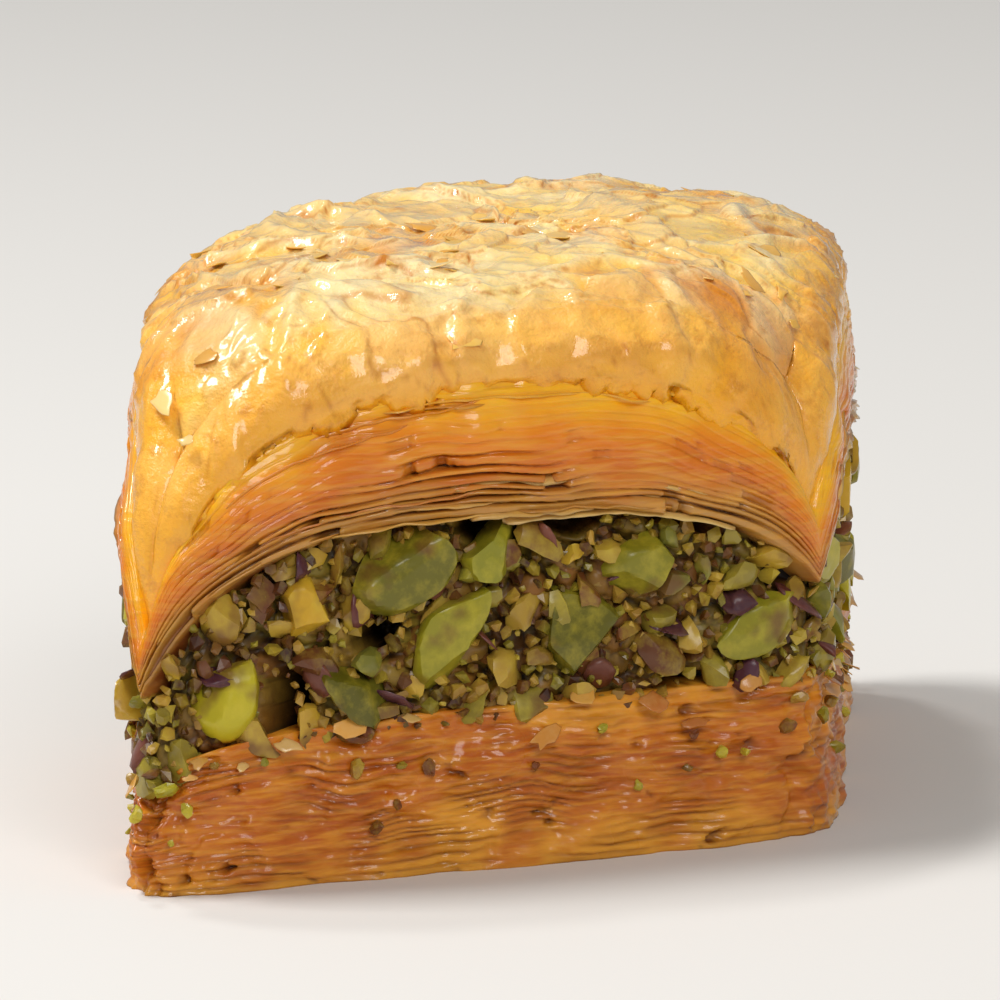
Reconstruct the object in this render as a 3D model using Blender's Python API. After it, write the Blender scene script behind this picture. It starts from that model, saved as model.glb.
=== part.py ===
"""A diamond-cut piece of pistachio baklava.

Three layers lie on each other: a syrup-soaked base of pressed filo leaves, a band of
ground pistachio, and a puffed stack of filo leaves that arches over the nuts and is
pinched down at the four corners by the knife. The long diagonal runs along X, the base
stands on Z = 0, and everything is in metres.

A place in the piece is (u, v, t): u and v run from -1 to 1 across the diamond, from one
cut side to the opposite one, and t runs from 0 to 1 up through a layer. The acute
corners are at u = v, the obtuse ones at u = -v.
"""

import math

import bmesh
import bpy
from mathutils import Vector, noise

# Driving dimensions
SIDE = 0.032                        # each of the four cut sides
ACUTE_ANGLE = math.radians(65)      # between two sides, at the ends of the long diagonal
GAP = 0.0003                        # between a layer and the one that it lies on

# Height of the top of each layer, at the middle of the piece and at its corners
CENTRE = {"base": 0.0066, "filling": 0.0164, "skin": 0.0242}
ACUTE_CORNER = {"base": 0.0044, "filling": 0.0080, "skin": 0.0116}
OBTUSE_CORNER = {"base": 0.0066, "filling": 0.0105, "skin": 0.0144}

# The dome: it falls towards the corners, later the higher the power, and the way out to
# them is measured as on a rounded square
FALL_POWER = 5.2
SQUARENESS = 2.6

# The plan: share by which the corners of a layer are drawn in, worn more at the top
CORNER_ROUNDING = {"base": 0.025, "filling": 0.05, "skin": 0.065}
CORNER_POWER = 5

# Unevenness of the cut sides and of the skin
BASE_SPREAD = 0.0004                # how much wider the base is at the bottom
BASE_WOBBLE = 0.00025
BASE_WOBBLE_LENGTH = 0.004
NUT_INSET = 0.0003
NUT_BULGE = 0.0009                  # lumps of nut that stand out of the cut or sit back
NUT_LENGTH = 0.0035
SKIN_LEAN = 0.0012                  # how far the top leaves lean in, from nuts to skin
LEAN_POWER = 3                      # most of it near the skin, which rolls over the edge
LEDGE_DEPTH = 0.00025               # bundles of leaves that end short of their neighbours
LEDGES = 3
RAGGED_DEPTH = 0.0002
RAGGED_LENGTH = 0.003
FOLD_HEIGHT = 0.0006                # long soft folds of the skin
FOLD_LENGTH = 0.009

# How finely a layer is divided
CELLS = 20
ROWS = 6

HALF_ANGLE = ACUTE_ANGLE / 2
HALF_WIDTH = SIDE * math.sin(ACUTE_ANGLE) / 2       # from the centre square to a side
ALONG_U = Vector((math.cos(HALF_ANGLE), -math.sin(HALF_ANGLE))) * SIDE / 2
ALONG_V = Vector((math.cos(HALF_ANGLE), math.sin(HALF_ANGLE))) * SIDE / 2

COLOURS = {
    "pastry_base": (0.50, 0.19, 0.035),
    "pistachio_filling": (0.26, 0.24, 0.06),
    "pastry_top": (0.80, 0.47, 0.12),
}
ROUGHNESS = {"pastry_base": 0.3, "pistachio_filling": 0.6, "pastry_top": 0.25}


def clear_scene():
    for thing in list(bpy.data.objects):
        bpy.data.objects.remove(thing)


def wander(u, v, height, length, seed):
    """Smooth noise from -1 to 1 in the piece, its lumps about length across."""
    spot = ALONG_U * u + ALONG_V * v
    return noise.noise(Vector((spot.x, spot.y, height)) / length + Vector((seed, 0, 0)))


def from_centre(u, v):
    """0 at the centre and 1 at the corners, as on a rounded square."""
    return ((abs(u) ** SQUARENESS + abs(v) ** SQUARENESS) / 2) ** (1 / SQUARENESS)


def inside_corners(u, v):
    """1 over most of the piece, falling to 0 at the corners."""
    return 1 - (u * v) ** 4


def level(layer, u, v):
    """Height of the top of a layer: a dome that the knife pinched at the corners."""
    pointed = (1 + u * v) / 2
    corner = OBTUSE_CORNER[layer] * (1 - pointed) + ACUTE_CORNER[layer] * pointed
    return CENTRE[layer] - (CENTRE[layer] - corner) * from_centre(u, v) ** FALL_POWER


def board(u, v):
    return 0.0


def base_level(u, v):
    return level("base", u, v)


def nuts_floor(u, v):
    return base_level(u, v) + GAP


def nuts_level(u, v):
    return level("filling", u, v)


def leaves_floor(u, v):
    return nuts_level(u, v) + GAP


def skin_level(u, v):
    """The puffed skin has long soft folds on the dome."""
    folds = FOLD_HEIGHT * wander(u, v, 0, FOLD_LENGTH, 3.7)
    return level("skin", u, v) + folds * inside_corners(u, v)


def base_draw_in(u, v, t):
    wobble = BASE_WOBBLE * wander(u, v, t * CENTRE["base"], BASE_WOBBLE_LENGTH, 11.3)
    return (BASE_SPREAD + wobble * inside_corners(u, v)) * t


def nuts_draw_in(u, v, t):
    """Lumps: about half of the side stands proud and half sits back."""
    height = t * (CENTRE["filling"] - CENTRE["base"])
    lumps = NUT_BULGE * wander(u, v, height, NUT_LENGTH, 5.1) * inside_corners(u, v)
    return NUT_INSET - lumps * (0.4 + 0.6 * math.sin(math.pi * t))


def leaves_draw_in(u, v, t):
    """The leaves lean in as they rise, in a few bundles with ledges between them."""
    height = t * (CENTRE["skin"] - CENTRE["filling"])
    ledge = LEDGE_DEPTH * math.sin(2 * math.pi * LEDGES * t)
    ragged = RAGGED_DEPTH * wander(u, v, height, RAGGED_LENGTH, 8.9)
    return SKIN_LEAN * t ** LEAN_POWER + (ledge + ragged) * inside_corners(u, v)


def boxed_grid():
    """A closed block from -1 to 1 in u and v and 0 to 1 in t: a grid drawn up in rows."""
    shape = bmesh.new()
    bmesh.ops.create_grid(shape, x_segments=CELLS, y_segments=CELLS, size=1)
    upper = list(shape.faces)
    for row in range(ROWS):
        covered = upper
        drawn = bmesh.ops.extrude_face_region(shape, geom=covered)["geom"]
        upper = [g for g in drawn if isinstance(g, bmesh.types.BMFace)]
        raised = [g for g in drawn if isinstance(g, bmesh.types.BMVert)]
        bmesh.ops.translate(shape, verts=raised, vec=(0, 0, 1 / ROWS))
        if row:
            bmesh.ops.delete(shape, geom=covered, context="FACES")
    bmesh.ops.recalc_face_normals(shape, faces=shape.faces)
    return shape


def finish(name):
    material = bpy.data.materials.new(name)
    material.use_nodes = True
    shader = material.node_tree.nodes["Principled BSDF"]
    shader.inputs["Base Color"].default_value = (*COLOURS[name], 1)
    shader.inputs["Roughness"].default_value = ROUGHNESS[name]
    shader.inputs["Metallic"].default_value = 0
    return material


def lay(name, layer, low, high, draw_in):
    """Carries a block into the diamond, between two levels, as one closed layer."""
    shape = boxed_grid()
    for vert in shape.verts:
        u, v, t = vert.co
        keep = 1 - CORNER_ROUNDING[layer] * abs(u * v) ** CORNER_POWER
        keep *= 1 - draw_in(u, v, t) / HALF_WIDTH
        spot = (ALONG_U * u + ALONG_V * v) * keep
        bottom, top = low(u, v), high(u, v)
        vert.co = (spot.x, spot.y, bottom + (top - bottom) * t)
    mesh = bpy.data.meshes.new(name)
    shape.to_mesh(mesh)
    shape.free()
    mesh.shade_smooth()
    mesh.set_sharp_from_angle(angle=math.radians(50))
    mesh.materials.append(finish(name))
    placed = bpy.data.objects.new(name, mesh)
    bpy.context.scene.collection.objects.link(placed)


def main():
    clear_scene()
    lay("pastry_base", "base", board, base_level, base_draw_in)
    lay("pistachio_filling", "filling", nuts_floor, nuts_level, nuts_draw_in)
    lay("pastry_top", "skin", leaves_floor, skin_level, leaves_draw_in)


main()
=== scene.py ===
# %% [markdown]
# A diamond-cut piece of pistachio baklava. Its three solids come packed as a fixed frame:
# a soaked base, a band of ground nuts and a domed stack of leaves. This script gives each of
# them its real surface: a crumpled glazed skin, the edges of single leaves, a crumb with
# pockets in it, and pieces of kernel that the knife went through.

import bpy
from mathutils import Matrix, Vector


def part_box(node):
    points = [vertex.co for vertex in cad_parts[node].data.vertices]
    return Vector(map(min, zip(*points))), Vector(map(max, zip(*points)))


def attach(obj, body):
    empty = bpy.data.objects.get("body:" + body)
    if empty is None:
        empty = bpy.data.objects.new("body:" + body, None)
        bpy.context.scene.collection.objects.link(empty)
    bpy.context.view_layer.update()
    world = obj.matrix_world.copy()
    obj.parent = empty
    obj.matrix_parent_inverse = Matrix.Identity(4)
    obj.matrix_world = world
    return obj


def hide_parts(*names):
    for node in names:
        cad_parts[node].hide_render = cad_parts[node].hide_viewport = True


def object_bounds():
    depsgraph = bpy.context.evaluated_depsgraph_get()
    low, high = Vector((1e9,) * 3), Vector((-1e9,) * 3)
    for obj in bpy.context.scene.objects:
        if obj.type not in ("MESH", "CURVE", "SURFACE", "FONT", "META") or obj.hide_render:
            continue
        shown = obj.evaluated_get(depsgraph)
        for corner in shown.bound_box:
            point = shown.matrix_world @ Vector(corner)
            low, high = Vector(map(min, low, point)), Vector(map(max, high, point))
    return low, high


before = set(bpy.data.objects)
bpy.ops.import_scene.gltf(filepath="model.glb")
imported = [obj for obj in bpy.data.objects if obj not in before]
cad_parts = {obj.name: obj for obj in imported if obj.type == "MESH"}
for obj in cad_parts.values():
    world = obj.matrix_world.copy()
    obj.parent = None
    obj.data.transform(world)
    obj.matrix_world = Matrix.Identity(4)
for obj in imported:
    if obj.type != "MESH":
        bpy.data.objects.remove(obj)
CAD_BOX = [list(corner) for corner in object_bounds()]

import math
import bmesh
import bpy
import numpy as np
from mathutils import Vector

MM = 0.001
print("CAD box, metres:", CAD_BOX)

# %% [markdown]
# The camera looks at one cut side from its left, a little from above, with a long lens, so
# that the side shows all the layers and the glazed dome shows behind it. It is made first.

# %% Camera
CAMERA_AZIMUTH = math.radians(-55)
CAMERA_ELEVATION = math.radians(11)
CAMERA_DISTANCE = 0.45
LENS = 385


def direction(azimuth, elevation):
    """The way from the piece towards a place: azimuth 0 is -Y, and it turns towards +X."""
    level = math.cos(elevation)
    return Vector((math.sin(azimuth) * level, -math.cos(azimuth) * level, math.sin(elevation)))


MIDDLE = Vector([(low + high) / 2 for low, high in zip(*CAD_BOX)])
camera = bpy.data.objects.new("camera", bpy.data.cameras.new("camera"))
camera.data.lens = LENS
camera.data.clip_start = 0.01
bpy.context.scene.collection.objects.link(camera)
towards = direction(CAMERA_AZIMUTH, CAMERA_ELEVATION)
camera.location = MIDDLE + towards * CAMERA_DISTANCE
camera.rotation_euler = (-towards).to_track_quat("-Z", "Y").to_euler()
bpy.context.scene.camera = camera
print("camera at", [round(x, 3) for x in camera.location])

# %% [markdown]
# Pastry looks fresh in window light from behind and above, which draws white glints on
# the glaze, with a broad fill from the front that opens the cut. A second small lamp behind
# adds glints further up. All are white, so that every warmth comes from the pastry itself.

# %% Light and floor
bpy.context.scene.view_settings.view_transform = "Standard"
world = bpy.data.worlds.new("studio")
world.use_nodes = True
world.node_tree.nodes["Background"].inputs["Color"].default_value = (1, 1, 1, 1)
world.node_tree.nodes["Background"].inputs["Strength"].default_value = 0.3
bpy.context.scene.world = world


def softbox(name, azimuth, elevation, distance, size, watts):
    """A square white area lamp that faces the piece."""
    lamp = bpy.data.lights.new(name, "AREA")
    lamp.size = size
    lamp.energy = watts
    placed = bpy.data.objects.new(name, lamp)
    away = direction(math.radians(azimuth), math.radians(elevation))
    placed.location = MIDDLE + away * distance
    placed.rotation_euler = (-away).to_track_quat("-Z", "Y").to_euler()
    bpy.context.scene.collection.objects.link(placed)


softbox("window", azimuth=-145, elevation=62, distance=0.4, size=0.11, watts=1.15)
softbox("front_fill", azimuth=-40, elevation=36, distance=0.6, size=0.25, watts=1.35)
softbox("back_glint", azimuth=165, elevation=66, distance=0.5, size=0.05, watts=0.4)

FLOOR_SIZE = 4.0
floor_mesh = bpy.data.meshes.new("floor")
half = FLOOR_SIZE / 2
floor_mesh.from_pydata([(-half, -half, 0), (half, -half, 0), (half, half, 0), (-half, half, 0)],
                       [], [(0, 1, 2, 3)])
floor = bpy.data.objects.new("floor", floor_mesh)
bpy.context.scene.collection.objects.link(floor)
print("three softboxes and a floor")

# %% [markdown]
# Uneven food needs noise. Blender's modifiers could bend the meshes with textures, but then
# the leaves couldn't know about each other. Here noise is worked out with numpy for whole
# arrays of points at once: a random slope on each corner of a cubic lattice, faded into each
# other, which is gradient noise, and distances to scattered points, which is cellular noise.

# %% Noise
def lottery(cell, seed):
    """A fixed random number from 0 to 1 for each row of whole-number coordinates: they are
    multiplied by large primes, and the bits are stirred twice."""
    mixed = (cell[..., 0] * 73856093) ^ (cell[..., 1] * 19349663) ^ (cell[..., 2] * 83492791)
    mixed = (mixed ^ (seed * 668265263)) & 0xFFFFFFFF
    mixed = ((mixed ^ (mixed >> 15)) * 2246822519) & 0xFFFFFFFF
    mixed = ((mixed ^ (mixed >> 13)) * 3266489917) & 0xFFFFFFFF
    return ((mixed ^ (mixed >> 16)) & 0xFFFFFF) / 0xFFFFFF


def waves(points, size, seed):
    """Gradient noise from about -1 to 1, in lumps about size across: at each lattice corner a
    random slope times the way to it, blended with the fade 6f^5 - 15f^4 + 10f^3."""
    place = np.asarray(points, float) / size + 31.7 * seed
    cell = np.floor(place).astype(np.int64)
    inside = place - cell
    fade = inside ** 3 * (inside * (inside * 6 - 15) + 10)
    total = 0.0
    for corner in np.ndindex(2, 2, 2):
        step = np.array(corner)
        weight = np.prod(np.where(step == 1, fade, 1 - fade), axis=-1)
        slopes = [lottery(cell + step, seed * 3 + axis) * 2 - 1 for axis in range(3)]
        way = inside - step
        total = total + weight * sum(slope * way[..., axis] for axis, slope in enumerate(slopes))
    return total * 1.5


def layered(points, size, seed, octaves=3):
    """Gradient noise with finer noise on it, each half as large and half as strong."""
    return sum(waves(points, size / 2 ** n, seed + n) / 2 ** n for n in range(octaves))


def ridges(points, size, seed):
    """Sharp crests where gradient noise passes zero: 1 on the crest, falling to 0."""
    return 1 - np.clip(np.abs(waves(points, size, seed)) * 2.2, 0, 1)


def lumps(points, size, seed):
    """Cellular noise: the distance to the nearest of points scattered one to a cell, the way
    from there to the second nearest, and a random number that belongs to the nearest."""
    place = np.asarray(points, float) / size + 17.3 * seed
    cell = np.floor(place).astype(np.int64)
    nearest = np.full(place.shape[:-1], 9.0)
    second = nearest.copy()
    mark = np.zeros(place.shape[:-1])
    for corner in np.ndindex(3, 3, 3):
        other = cell + np.array(corner) - 1
        spot = other + np.stack([lottery(other, seed * 5 + axis) for axis in range(3)], axis=-1)
        far = np.linalg.norm(spot - place, axis=-1)
        closer = far < nearest
        second = np.where(closer, nearest, np.minimum(second, far))
        mark = np.where(closer, lottery(other, seed * 5 + 3), mark)
        nearest = np.where(closer, far, nearest)
    return nearest, second - nearest, mark


def ease(value, low, high):
    """0 below low, 1 above high, and a soft S between."""
    share = np.clip((value - low) / (high - low), 0, 1)
    return share * share * (3 - 2 * share)


print("noise ready, for example", round(float(waves([[0.3, 0.2, 0.1]], 1.0, 1)[0]), 3))

# %% [markdown]
# Every piece below follows the same dome, so its shape is kept in one place. The diamond is
# a sheared square: u and v run from -1 to 1 across it. The three levels are a soft dome that
# is pinched at the corners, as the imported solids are; sizes come from the frame's boxes.

# %% The shape of the piece
CORNER_ROUNDING = {"base": 0.025, "filling": 0.05, "skin": 0.065}
HALF_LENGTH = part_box("pastry_base")[1].x / (1 - CORNER_ROUNDING["base"])
HALF_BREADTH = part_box("pastry_base")[1].y / (1 - CORNER_ROUNDING["base"])
ALONG_U = np.array([HALF_LENGTH, -HALF_BREADTH]) / 2
ALONG_V = np.array([HALF_LENGTH, HALF_BREADTH]) / 2
SIDE = 2 * float(np.linalg.norm(ALONG_U))
SIDE_WAY = HALF_LENGTH * HALF_BREADTH / SIDE        # from the middle square to a side
CENTRE = {"base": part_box("pastry_base")[1].z, "filling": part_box("pistachio_filling")[1].z,
          "skin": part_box("pastry_top")[1].z - 0.9 * MM}
ACUTE_CORNER = {"base": 4.4 * MM, "filling": 8.0 * MM, "skin": 11.6 * MM}
OBTUSE_CORNER = {"base": 6.6 * MM, "filling": 10.5 * MM, "skin": 14.4 * MM}
CORNER_POWER = 5
FALL_POWER = 5.2
SQUARENESS = 2.6


def level(layer, uv):
    """Height of the top of a layer: the centre's height, less a power of the distance out to
    the corners, which is measured as on a rounded square."""
    u, v = uv[..., 0], uv[..., 1]
    out = ((np.abs(u) ** SQUARENESS + np.abs(v) ** SQUARENESS) / 2) ** (1 / SQUARENESS)
    pointed = (1 + u * v) / 2
    corner = OBTUSE_CORNER[layer] * (1 - pointed) + ACUTE_CORNER[layer] * pointed
    return CENTRE[layer] - (CENTRE[layer] - corner) * out ** FALL_POWER


def corner_share(uv, power=CORNER_POWER):
    """0 along the sides and 1 at the four corners, nearer to them the higher the power."""
    return np.abs(uv[..., 0] * uv[..., 1]) ** power


def place(layer, uv, inset=0.0, height=0.0):
    """The point at (u, v), drawn in by inset metres, with the layer's corners rounded."""
    worn = 1 - CORNER_ROUNDING[layer] * corner_share(uv)
    keep = worn * (1 - inset / SIDE_WAY)
    flat = (uv[..., :1] * ALONG_U + uv[..., 1:] * ALONG_V) * keep[..., None]
    return np.concatenate([flat, np.broadcast_to(height, keep.shape)[..., None]], axis=-1)


def round_the_side(way):
    """(u, v) and the number of the side at a way round the square from 0 to 4, anticlockwise
    from the left acute corner: from 0 to 1 it is the near side, v = -1."""
    side, along = np.floor(way).astype(int) % 4, (way % 1) * 2 - 1
    one = np.ones_like(along)
    u = np.choose(side, [along, one, -along, -one])
    v = np.choose(side, [-one, along, one, -along])
    return np.stack([u, v], axis=-1), side


AROUND = 680                             # points round the diamond, in every cut side
RIM = round_the_side(np.arange(AROUND) / AROUND * 4)[0]
print("sides of", round(SIDE / MM, 1), "mm; skin at", round(CENTRE["skin"] / MM, 1), "mm")

# %% [markdown]
# A mesh is arrays of points and of corner numbers. Most pieces are one closed surface:
# rings that run round the diamond, from one above the middle, down the cut, to one below
# it, with a single point that closes each end. Values per point, such as how deep in a
# groove it is, ride along as attributes, and the materials read them.

# %% Meshes from arrays
def mesh_from(name, points, groups, values=None, colours=None):
    """An object with those points and groups of faces, all faces of a group with the same
    number of corners, and with an attribute for each named array."""
    mesh = bpy.data.meshes.new(name)
    sizes = np.concatenate([np.full(len(group), group.shape[1]) for group in groups])
    corners = np.concatenate([group.ravel() for group in groups])
    mesh.vertices.add(len(points))
    mesh.vertices.foreach_set("co", np.ascontiguousarray(points, np.float32).ravel())
    mesh.loops.add(len(corners))
    mesh.loops.foreach_set("vertex_index", corners.astype(np.int32))
    mesh.polygons.add(len(sizes))
    mesh.polygons.foreach_set("loop_start", (np.cumsum(sizes) - sizes).astype(np.int32))
    mesh.update(calc_edges=True)
    for key, value in (values or {}).items():
        kept = mesh.attributes.new(key, "FLOAT", "POINT")
        kept.data.foreach_set("value", np.ascontiguousarray(value, np.float32).ravel())
    for key, value in (colours or {}).items():
        kept = mesh.attributes.new(key, "FLOAT_COLOR", "POINT")
        kept.data.foreach_set("color", np.ascontiguousarray(value, np.float32).ravel())
    made = bpy.data.objects.new(name, mesh)
    bpy.context.scene.collection.objects.link(made)
    return made


def ring_faces(rows, columns):
    """Quads between rings, and triangles to a point before the first and after the last. The
    rings run anticlockwise and go from the top down, so faces point outwards."""
    here = np.arange(rows * columns).reshape(rows, columns)
    side = np.roll(here, -1, axis=1)
    quads = np.stack([here[:-1], here[1:], side[1:], side[:-1]], axis=-1).reshape(-1, 4)
    top, bottom = rows * columns, rows * columns + 1
    lid = np.stack([np.full(columns, top), here[0], side[0]], axis=-1)
    floor_fan = np.stack([np.full(columns, bottom), side[-1], here[-1]], axis=-1)
    return quads, np.concatenate([lid, floor_fan])


def closed_rings(name, rings, values=None):
    """A closed surface through rings of points, (rows, columns, 3), with its attributes."""
    rows, columns = rings.shape[:2]
    ends = np.stack([rings[0].mean(axis=0), rings[-1].mean(axis=0)])
    points = np.concatenate([rings.reshape(-1, 3), ends])
    spread = {key: np.concatenate([value.ravel(), [value[0].mean(), value[-1].mean()]])
              for key, value in (values or {}).items()}
    made = mesh_from(name, points, ring_faces(rows, columns), spread)
    made.data.shade_smooth()
    print(name, len(points), "points")
    return made


def outward(rings):
    """The direction that each point of a ring surface faces: the cross product of the ways
    to the next row and to the next column."""
    down = np.gradient(rings, axis=0)
    along = np.roll(rings, -1, axis=1) - np.roll(rings, 1, axis=1)
    facing = np.cross(down, along)
    return facing / np.maximum(np.linalg.norm(facing, axis=-1, keepdims=True), 1e-12)


# %% [markdown]
# Materials next. Colours are written as the sRGB hex values that a painter would pick, and
# one function turns them to the linear numbers that Blender mixes in. A second one adds a
# node with its settings and links, so that each material reads as a list of what it does.

# %% Material helpers
FACTOR, FIRST, SECOND = 0, 6, 7          # sockets of a Mix node that mixes colours
MIXED = 2


def linear(hexed):
    """sRGB hex to linear: v / 12.92 below 0.04045, else ((v + 0.055) / 1.055) ^ 2.4."""
    parts = [int(hexed[i:i + 2], 16) / 255 for i in (1, 3, 5)]
    parts = [v / 12.92 if v <= 0.04045 else ((v + 0.055) / 1.055) ** 2.4 for v in parts]
    return (*parts, 1.0)


def add(material, kind, sockets=None, stops=None, **settings):
    """Adds a node: settings are its own fields, and sockets gives, by name or number, a value
    or another node's output to link. stops are a colour ramp's places and colours."""
    tree = material.node_tree
    made = tree.nodes.new("ShaderNode" + kind)
    for key, value in settings.items():
        setattr(made, key, value)
    for key, value in (sockets or {}).items():
        if isinstance(value, bpy.types.NodeSocket):
            tree.links.new(value, made.inputs[key])
        else:
            made.inputs[key].default_value = value
    if stops:
        elements = made.color_ramp.elements
        while len(elements) < len(stops):
            elements.new(0.5)
        for element, (position, colour) in zip(elements, stops):
            element.position = position
            element.color = linear(colour) if isinstance(colour, str) else (colour,) * 3 + (1,)
    return made


def new_material(name):
    """An empty material with an output, and the Object coordinates that patterns read."""
    material = bpy.data.materials.new(name)
    material.use_nodes = True
    material.node_tree.nodes.clear()
    return material, add(material, "TexCoord").outputs["Object"]


def surface(material, sockets):
    """The one Principled shader of a material, joined to its output."""
    shader = add(material, "BsdfPrincipled", sockets)
    add(material, "OutputMaterial", {"Surface": shader.outputs["BSDF"]})
    return material


def mix(material, factor, first, second, blend="MIX"):
    """The colour between first and second; each may be a hex value or another output."""
    sockets = {FACTOR: factor}
    for key, colour in ((FIRST, first), (SECOND, second)):
        sockets[key] = linear(colour) if isinstance(colour, str) else colour
    made = add(material, "Mix", sockets, data_type="RGBA", blend_type=blend)
    return made.outputs[MIXED]


def per_mm(size):
    """A noise texture's Scale for lumps that are size millimetres across."""
    return 1 / (size * MM)


# %% [markdown]
# The skin is the uppermost leaf of filo, brushed with butter, baked until it blisters and
# then glazed with syrup. Butter leaves pale straw patches, hot spots bake to amber, and the
# syrup lies over all of it as a clear thin coat whose gloss changes from place to place.

# %% Finish: syrup-glazed filo
def glazed_filo():
    """Straw, gold and amber in soft patches a few millimetres wide, amber where it curls
    over the cut, toasted along torn edges, small brown freckles, and a clear smooth coat over
    a crisper surface, which gives the white glints."""
    material, coords = new_material("syrup_glazed_filo")
    curl = add(material, "Attribute", attribute_name="curl").outputs["Fac"]
    crest = add(material, "Attribute", attribute_name="crest").outputs["Fac"]
    torn = add(material, "Attribute", attribute_name="torn").outputs["Fac"]
    toasted = add(material, "Attribute", attribute_name="toasted").outputs["Fac"]
    patches = add(material, "TexNoise", {"Vector": coords, "Scale": per_mm(8), "Detail": 3,
                                         "Roughness": 0.55, "Distortion": 0.7})
    baked = add(material, "ValToRGB", {"Fac": patches.outputs["Fac"]}, stops=[
        (0.36, "#DE881A"), (0.45, "#EFAC2C"), (0.53, "#F8C650"), (0.63, "#F6D896")])
    paler = mix(material, crest, baked.outputs["Color"], "#F8E0A6")
    fresh = mix(material, torn, paler, "#EDC274")
    edge = mix(material, curl, fresh, "#FFAE18")
    browned = mix(material, toasted, edge, "#C4781E")
    speck = add(material, "TexNoise", {"Vector": coords, "Scale": per_mm(1.1), "Detail": 5,
                                       "Roughness": 0.65})
    freckles = add(material, "MapRange", {"Value": speck.outputs["Fac"], "From Min": 0.54,
                                          "From Max": 0.72, "To Max": 0.6})
    colour = mix(material, freckles.outputs["Result"], browned, "#C47A22")
    gloss = add(material, "MapRange", {"Value": patches.outputs["Fac"], "From Min": 0.3,
                                       "From Max": 0.7, "To Min": 0.18, "To Max": 0.36})
    fine = add(material, "TexNoise", {"Vector": coords, "Scale": per_mm(0.9), "Detail": 5,
                                      "Roughness": 0.6})
    glaze = add(material, "MapRange", {"Value": curl, "To Min": 1.0, "To Max": 0.7})
    crisp = add(material, "Bump", {"Height": fine.outputs["Fac"], "Strength": 0.6,
                                   "Distance": 0.4 * MM})
    syrup = add(material, "Bump", {"Height": fine.outputs["Fac"], "Strength": 0.16,
                                   "Distance": 0.25 * MM})
    return surface(material, {
        "Base Color": colour, "Roughness": gloss.outputs["Result"], "IOR": 1.45,
        "Normal": crisp.outputs["Normal"], "Coat Normal": syrup.outputs["Normal"],
        "Coat Weight": glaze.outputs["Result"], "Coat Roughness": 0.05, "Coat IOR": 1.47,
        "Specular IOR Level": 0.3,
        "Subsurface Weight": 0.15, "Subsurface Scale": 2 * MM,
        "Subsurface Radius": (1.0, 0.55, 0.2)})


# %% [markdown]
# The cut of the top stack shows its leaves from the edge. Near the skin they are fused by
# syrup to an orange glassy band; near the nuts they are drier, tan and open. The lines
# between them are real grooves, and painted shade darkens them further.

# %% Finish: cut filo leaves
def cut_leaves(name, rise_stops, leaf_and_groove_shade_colour, streak_colour, uneven, coat):
    """Colour follows rise, 0 at the lower leaf and 1 at the upper one; grooves get painted
    shade, and streaks a ninth as high as they are long follow the leaves."""
    material, coords = new_material(name)
    rise = add(material, "Attribute", attribute_name="rise").outputs["Fac"]
    groove_shade = add(material, "Attribute", attribute_name="groove_shade").outputs["Fac"]
    leaf = add(material, "Attribute", attribute_name="leaf_tone").outputs["Fac"]
    blotch = add(material, "TexNoise", {"Vector": coords, "Scale": per_mm(5), "Detail": 3})
    shift = add(material, "MapRange", {"Value": blotch.outputs["Fac"], "From Min": 0.25,
                                       "From Max": 0.75, "To Min": -uneven, "To Max": uneven})
    shifted = add(material, "Math", {0: rise, 1: shift.outputs["Result"]}, operation="ADD")
    base = add(material, "ValToRGB", {"Fac": shifted.outputs["Value"]}, stops=rise_stops)
    flat = add(material, "Mapping", {"Vector": coords, "Scale": (1, 1, 9)})
    fibre = add(material, "TexNoise", {"Vector": flat.outputs["Vector"], "Scale": per_mm(2.2),
                                       "Detail": 3})
    streak = add(material, "MapRange", {"Value": fibre.outputs["Fac"], "From Min": 0.42,
                                        "From Max": 0.68, "To Max": 0.55})
    streaked = mix(material, streak.outputs["Result"], base.outputs["Color"], streak_colour)
    toned = add(material, "MapRange", {"Value": leaf, "To Min": 0.0, "To Max": 0.4})
    per_leaf = mix(material, toned.outputs["Result"], streaked, leaf_and_groove_shade_colour)
    # Painted shade: the grooves between leaves are painted dark.
    colour = mix(material, groove_shade, per_leaf, leaf_and_groove_shade_colour)
    wet = add(material, "MapRange", {"Value": blotch.outputs["Fac"], "From Min": 0.3,
                                     "From Max": 0.7, "To Min": 0.22, "To Max": 0.46})
    bump = add(material, "Bump", {"Height": fibre.outputs["Fac"], "Strength": 0.2,
                                  "Distance": 0.2 * MM})
    return surface(material, {
        "Base Color": colour, "Roughness": wet.outputs["Result"], "IOR": 1.46,
        "Specular IOR Level": 0.3, "Normal": bump.outputs["Normal"],
        "Coat Normal": bump.outputs["Normal"], "Coat Weight": coat, "Coat Roughness": 0.1,
        "Subsurface Weight": 0.18, "Subsurface Scale": 1.6 * MM,
        "Subsurface Radius": (1.0, 0.45, 0.12)})
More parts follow.
